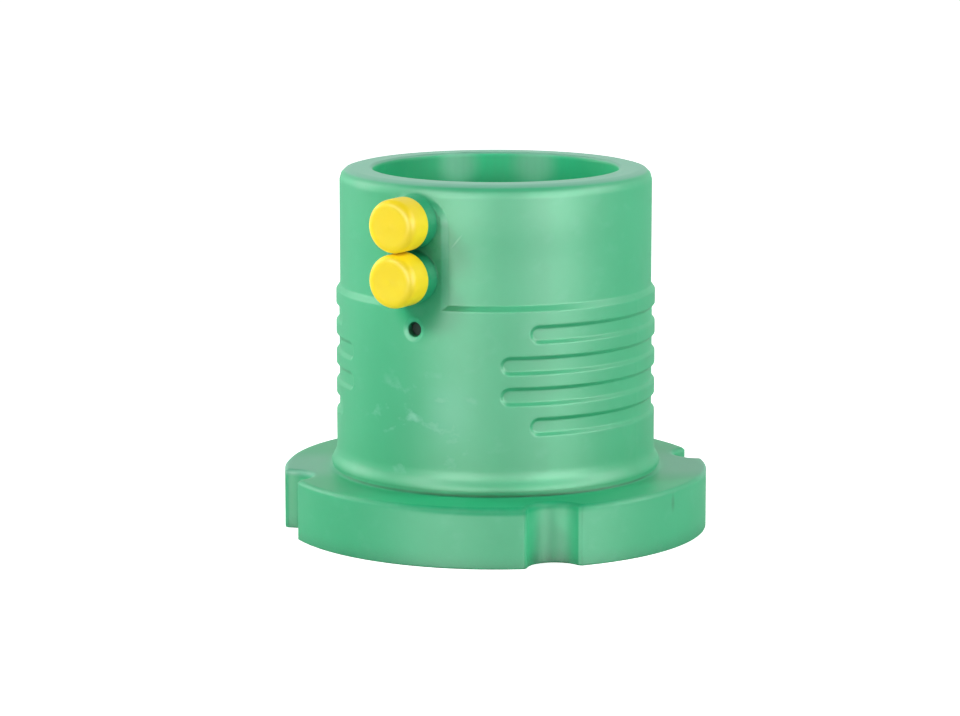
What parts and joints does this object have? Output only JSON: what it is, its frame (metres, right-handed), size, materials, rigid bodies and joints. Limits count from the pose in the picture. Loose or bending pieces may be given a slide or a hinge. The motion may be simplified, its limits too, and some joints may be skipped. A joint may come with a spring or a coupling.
{
  "type": "electrofusion flange",
  "caption": "Short plastic pipe end with an electrofusion socket, two capped terminals and a thick flange with bolt notches.",
  "frame": {"origin": "on the axis of the fitting, in the plane of the sealing face under the flange", "axes": "+Z along the axis, up out of the mouth of the socket; the two terminals face -Y; X to the side"},
  "size_m": [0.1568, 0.1568, 0.1333],
  "materials": {
    "green_plastic": "moulded, soft sheen",
    "yellow_plastic": "moulded, soft sheen",
    "brass": "turned",
    "indicator_plastic": "moulded",
    "resistance_wire": "drawn wire"
  },
  "bodies": {
    "root": {"flange_body": "green_plastic", "terminal_cap_lower": "yellow_plastic", "terminal_cap_upper": "yellow_plastic", "terminal_pin_lower": "brass", "terminal_pin_upper": "brass", "fusion_indicator": "indicator_plastic", "heating_coil": "resistance_wire"}
  },
  "joints": []
}
